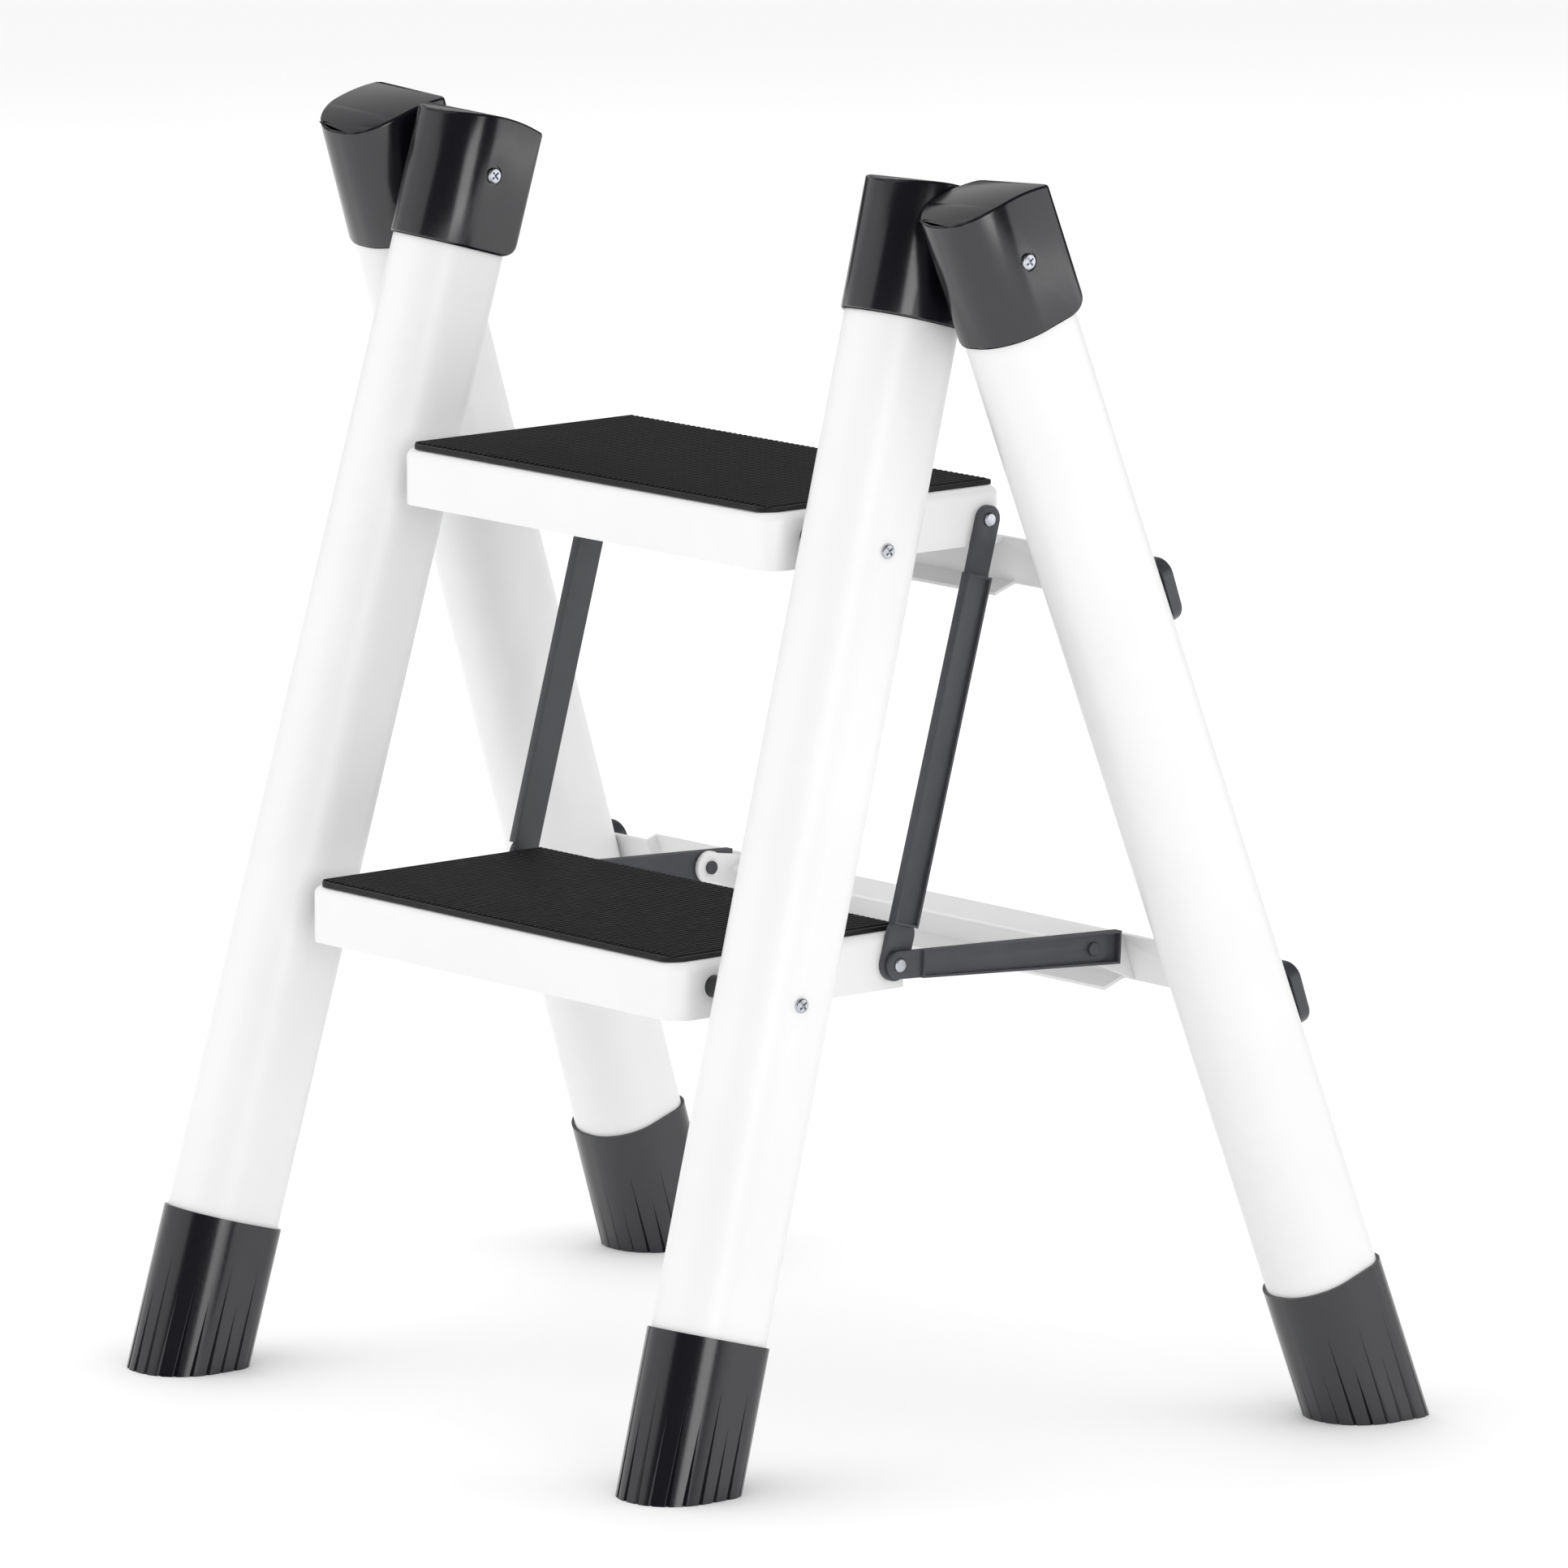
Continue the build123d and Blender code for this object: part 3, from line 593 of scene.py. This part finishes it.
def channel(inner, side, start, end, width, flare=1.0):
    """A closed channel between two points, open to the outside, its web on the inner face.
    flare widens it at the end point."""
    run = end - start
    depth = sizes().channel_depth
    tilt = math.atan2(run.z, run.y)
    middle = (start + end) / 2
    bar = block(Vector((inner + side * depth / 2, middle.y, middle.z)), (depth, run.length, width), tilt)
    along = run.normalized()
    across = Vector((0, -along.z, along.y))
    bpy.ops.object.mode_set(mode="EDIT")
    if flare != 1.0:
        pick(bar, "VERT", lambda vert: (vert.co - middle).dot(along) > run.length / 4)
        bpy.ops.mesh.select_mode(type="VERT")
        mesh = bmesh.from_edit_mesh(bar.data)
        for vert in mesh.verts:
            if vert.select:
                off = (vert.co - end).dot(across)
                vert.co += across * off * (flare - 1)
        bmesh.update_edit_mesh(bar.data)
    pick(bar, "FACE", lambda face: face.normal.x * side > 0.9)
    bpy.ops.mesh.inset(thickness=sizes().channel_wall, depth=0)
    web = 1.6 * MM
    floor = web - depth
    bpy.ops.mesh.extrude_region_move(TRANSFORM_OT_translate={"value": (side * floor, 0, 0)})
    bpy.ops.object.mode_set(mode="OBJECT")
    return bar


def toward(start, end, distance):
    """The point at a distance from start on the line to end."""
    return start + (end - start).normalized() * distance


def soften(piece):
    """Round every sharp edge by the pressed-edge radius."""
    soft = piece.modifiers.new("edges", "BEVEL")
    soft.width = sizes().press_edge
    soft.segments = 2
    soft.limit_method = "ANGLE"
    soft.angle_limit = math.radians(35)
    work_on(piece)
    bpy.ops.object.modifier_apply(modifier=soft.name)
    smooth(piece, 35)


def inner_face(name, side):
    """x of a link's face towards the middle of the stool."""
    low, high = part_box(name)
    return low.x if side > 0 else high.x


def finish_link(link, name):
    """Soften a link's edges and put it on its own body."""
    soften(link)
    hand_over(link, name, "link_paint", link_coat(), name)


def make_lift_link(side_name, side):
    """The upright link: round eyes and a channel between them."""
    name = "lift_link_" + side_name
    lower_eye, upper_eye, width = 21 * MM, 30 * MM, 17 * MM
    link = copy_of(name, name + "_channel")
    start = toward(LOWER_LINK_PIN, UPPER_LINK_PIN, lower_eye)
    end = toward(UPPER_LINK_PIN, LOWER_LINK_PIN, upper_eye)
    boolean(link, channel(inner_face(name, side), side, start, end, width), "UNION")
    finish_link(link, name)


def make_spread_link(side_name, side):
    """The level link: a round front eye, a channel, and a rear end that flares square."""
    name = "spread_link_" + side_name
    front_eye, tail, width, flare = 15 * MM, 18 * MM, 15 * MM, 1.2
    link = copy_of(name, name + "_channel")
    start = toward(LOWER_LINK_PIN, SPREAD_PIN, front_eye)
    end = toward(SPREAD_PIN, LOWER_LINK_PIN, -tail)
    boolean(link, channel(inner_face(name, side), side, start, end, width, flare), "UNION")
    finish_link(link, name)


# ---- crossbars ----

def make_sheet(name):
    """A crossbar or its lug, folded or cut from sheet, with its edges rounded."""
    sheet = copy_of(name, name + "_folded")
    soften(sheet)
    hand_over(sheet, "rear_frame", "tray_paint", powder_coat(), name)


# ---- stage ----

SKY_LIGHT = 0.96
SKY_GLOSS = 0.05
LIGHTS = (
    ("left_softbox", (-3.0, -2.7, 0.9), (0, 0, 0.4), (6.0, 3.0), 40),
    ("front_softbox", (4.3, -1.7, 0.9), (0, 0, 0.4), (2.0, 2.6), 46),
    ("right_softbox", (3.6, 3.4, 1.0), (0, 0, 0.4), (3.0, 3.0), 34),
    ("overhead_softbox", (-3.4, 1.75, 3.0), (0, 0, 0.65), (6.0, 4.0), 40),
)


def make_floor():
    """A wide plain floor."""
    clear_selection()
    bpy.ops.mesh.primitive_grid_add(x_subdivisions=2, y_subdivisions=2, size=40, location=(0, 0, 0))
    floor = bpy.context.object
    floor.name = "studio_floor"
    paper = bpy.data.materials.new("white_seamless_paper")
    paper.use_nodes = True
    shader = paper.node_tree.nodes["Principled BSDF"]
    shader.inputs["Base Color"].default_value = tuple(colours().floor) + (1,)
    shader.inputs["Roughness"].default_value = 0.9
    floor.data.materials.append(paper)


def make_light(name, place, aim, size, power):
    clear_selection()
    bpy.ops.object.light_add(type="AREA", location=place)
    lamp = bpy.context.object
    lamp.name = name
    lamp.data.shape = "RECTANGLE"
    lamp.data.size, lamp.data.size_y = size
    lamp.data.energy = power
    lamp.rotation_euler = (Vector(aim) - Vector(place)).to_track_quat("-Z", "Y").to_euler()


def make_sky():
    """An even white room, which glossy surfaces see as nearly dark, so that only the softboxes
    show in them."""
    sky = bpy.data.worlds.new("studio")
    bpy.context.scene.world = sky
    sky.use_nodes = True
    tree = sky.node_tree
    path = add_node(tree, "ShaderNodeLightPath", {})
    strength = add_node(tree, "ShaderNodeMapRange", {"Value": path.outputs["Is Glossy Ray"],
                                                     "To Min": SKY_LIGHT, "To Max": SKY_GLOSS})
    background = tree.nodes["Background"]
    background.inputs["Color"].default_value = (1, 1, 1, 1)
    tree.links.new(strength.outputs["Result"], background.inputs["Strength"])


def make_sun():
    """A very soft key from the front left, which lights the whole floor evenly."""
    clear_selection()
    bpy.ops.object.light_add(type="SUN", location=(-2, -3, 4))
    sun = bpy.context.object
    sun.name = "soft_key"
    sun.data.energy = 0.25
    sun.data.angle = math.radians(50)
    sun.rotation_euler = (Vector((0, 0, 0)) - sun.location).to_track_quat("-Z", "Y").to_euler()


def make_camera():
    """A long lens, seen from the front right and a little above."""
    azimuth = math.radians(49.71)
    elevation = math.radians(10)
    distance = 7.907
    back = Vector((math.sin(azimuth) * math.cos(elevation), -math.cos(azimuth) * math.cos(elevation),
                   math.sin(elevation)))
    target = Vector((0.0353, 0.0183, 0.3279))
    clear_selection()
    bpy.ops.object.camera_add(location=target + back * distance)
    camera = bpy.context.object
    camera.name = "camera"
    camera.rotation_euler = (-back).to_track_quat("-Z", "Y").to_euler()
    camera.data.lens = 338.6
    camera.data.sensor_width = 36
    camera.data.clip_end = 100
    bpy.context.scene.camera = camera


# ---- operators ----

class StoolStep(bpy.types.Operator):
    """Shared settings of the stool's operators."""

    bl_idname = "stool.step"
    bl_label = "Step"
    bl_options = {"REGISTER", "UNDO"}


class MakeLegs(StoolStep):
    """Make the four leg tubes."""

    bl_idname = "stool.legs"
    bl_label = "Legs"

    def execute(self, context):
        for side, _ in SIDES:
            make_leg("front_frame", "front_leg_" + side)
            make_leg("rear_frame", "rear_leg_" + side)
        return {"FINISHED"}


class MakeCaps(StoolStep):
    """Make the four hinge caps."""

    bl_idname = "stool.caps"
    bl_label = "Hinge caps"

    def execute(self, context):
        for side, _ in SIDES:
            make_cap("front_frame", "front_cap_" + side)
            make_cap("rear_frame", "rear_cap_" + side)
        return {"FINISHED"}


class MakeFeet(StoolStep):
    """Make the four fluted feet."""

    bl_idname = "stool.feet"
    bl_label = "Feet"

    def execute(self, context):
        for side, _ in SIDES:
            make_foot("front_frame", "front", side)
            make_foot("rear_frame", "rear", side)
        return {"FINISHED"}


class MakeHinges(StoolStep):
    """Make the hinge barrels, screws and washers."""

    bl_idname = "stool.hinges"
    bl_label = "Hinges"

    def execute(self, context):
        make_screws("front_frame", "hinge_barrels", HINGE, False)
        make_screws("front_frame", "hinge_screws", HINGE, True)
        make_turned("front_frame", "hinge_washers", "bush_plastic", nylon())
        return {"FINISHED"}


class MakeTrays(StoolStep):
    """Make the two pressed treads."""

    bl_idname = "stool.trays"
    bl_label = "Trays"

    def execute(self, context):
        for step in STEPS:
            make_tray(step)
        return {"FINISHED"}


class MakeMats(StoolStep):
    """Make the two ribbed mats."""

    bl_idname = "stool.mats"
    bl_label = "Mats"

    def execute(self, context):
        for step in STEPS:
            make_mat(step)
        return {"FINISHED"}


class MakePivots(StoolStep):
    """Make the screws, spacers and nuts that the treads tilt on."""

    bl_idname = "stool.pivots"
    bl_label = "Tread pivots"

    def execute(self, context):
        for step in STEPS:
            make_screws("front_frame", step + "_pivot_screws", TREAD_PIVOT[step], True)
            make_turned("front_frame", step + "_pivot_spacers", "bush_plastic", nylon())
            make_turned("front_frame", step + "_pivot_nuts", "zinc_steel", zinc_plate())
        return {"FINISHED"}


class MakeLinks(StoolStep):
    """Make the four channel links and the lugs that carry them."""

    bl_idname = "stool.links"
    bl_label = "Links"

    def execute(self, context):
        for side_name, side in SIDES:
            make_lift_link(side_name, side)
            make_spread_link(side_name, side)
            make_sheet("link_lug_" + side_name)
        return {"FINISHED"}


class MakeRivets(StoolStep):
    """Make the link rivets."""

    bl_idname = "stool.rivets"
    bl_label = "Rivets"

    def execute(self, context):
        make_rivets("upper_tread", "upper_link_rivets", "zinc_steel", zinc_plate())
        make_turned("lower_tread", "lower_link_rivets", "zinc_steel", zinc_plate())
        make_rivets("rear_frame", "lug_rivets", "link_paint", link_coat())
        for side_name, side in SIDES:
            make_rivets("spread_link_" + side_name, "spread_rivet_" + side_name, "zinc_steel",
                        zinc_plate(), (side,))
        return {"FINISHED"}


class MakeCrossbars(StoolStep):
    """Make the two rear crossbars."""

    bl_idname = "stool.crossbars"
    bl_label = "Crossbars"

    def execute(self, context):
        for step in STEPS:
            make_sheet(step + "_crossbar")
        return {"FINISHED"}


class MakeFasteners(StoolStep):
    """Make the crossbars' bolts and nuts and the covers over them."""

    bl_idname = "stool.fasteners"
    bl_label = "Crossbar fasteners"

    def execute(self, context):
        make_turned("rear_frame", "crossbar_bolts", "zinc_steel", zinc_plate())
        make_turned("rear_frame", "crossbar_nuts", "zinc_steel", zinc_plate())
        make_turned("rear_frame", "crossbar_covers", "cover_plastic", cover_plastic())
        return {"FINISHED"}


class MakeStage(StoolStep):
    """Make the floor, the lights and the camera."""

    bl_idname = "stool.stage"
    bl_label = "Stage"

    def execute(self, context):
        make_floor()
        make_sky()
        make_sun()
        for lamp in LIGHTS:
            make_light(*lamp)
        make_camera()
        bpy.context.scene.view_settings.view_transform = "Standard"
        return {"FINISHED"}


STAGES = (MakeStage, MakeLegs, MakeCaps, MakeFeet, MakeHinges, MakeTrays, MakeMats, MakePivots,
          MakeLinks, MakeRivets, MakeCrossbars, MakeFasteners)


class StoolPanel(bpy.types.Panel):
    """Lists the stool's settings and steps."""

    bl_idname = "VIEW3D_PT_stool"
    bl_label = "Stool"
    bl_space_type = "VIEW_3D"
    bl_region_type = "UI"
    bl_category = "Stool"

    def draw(self, context):
        for group in (context.scene.stool_sizes, context.scene.stool_colours):
            for name in group.__annotations__:
                self.layout.prop(group, name)
        for stage in STAGES:
            self.layout.operator(stage.bl_idname)


CLASSES = (StoolColours, StoolSizes) + STAGES + (StoolPanel,)


def register():
    for item in CLASSES:
        bpy.utils.register_class(item)
    bpy.types.Scene.stool_sizes = PointerProperty(type=StoolSizes)
    bpy.types.Scene.stool_colours = PointerProperty(type=StoolColours)


def unregister():
    del bpy.types.Scene.stool_colours
    del bpy.types.Scene.stool_sizes
    for item in reversed(CLASSES):
        bpy.utils.unregister_class(item)


def main():
    register()
    for stage in STAGES:
        group, name = stage.bl_idname.split(".")
        getattr(getattr(bpy.ops, group), name)()


if __name__ == "__main__":
    main()
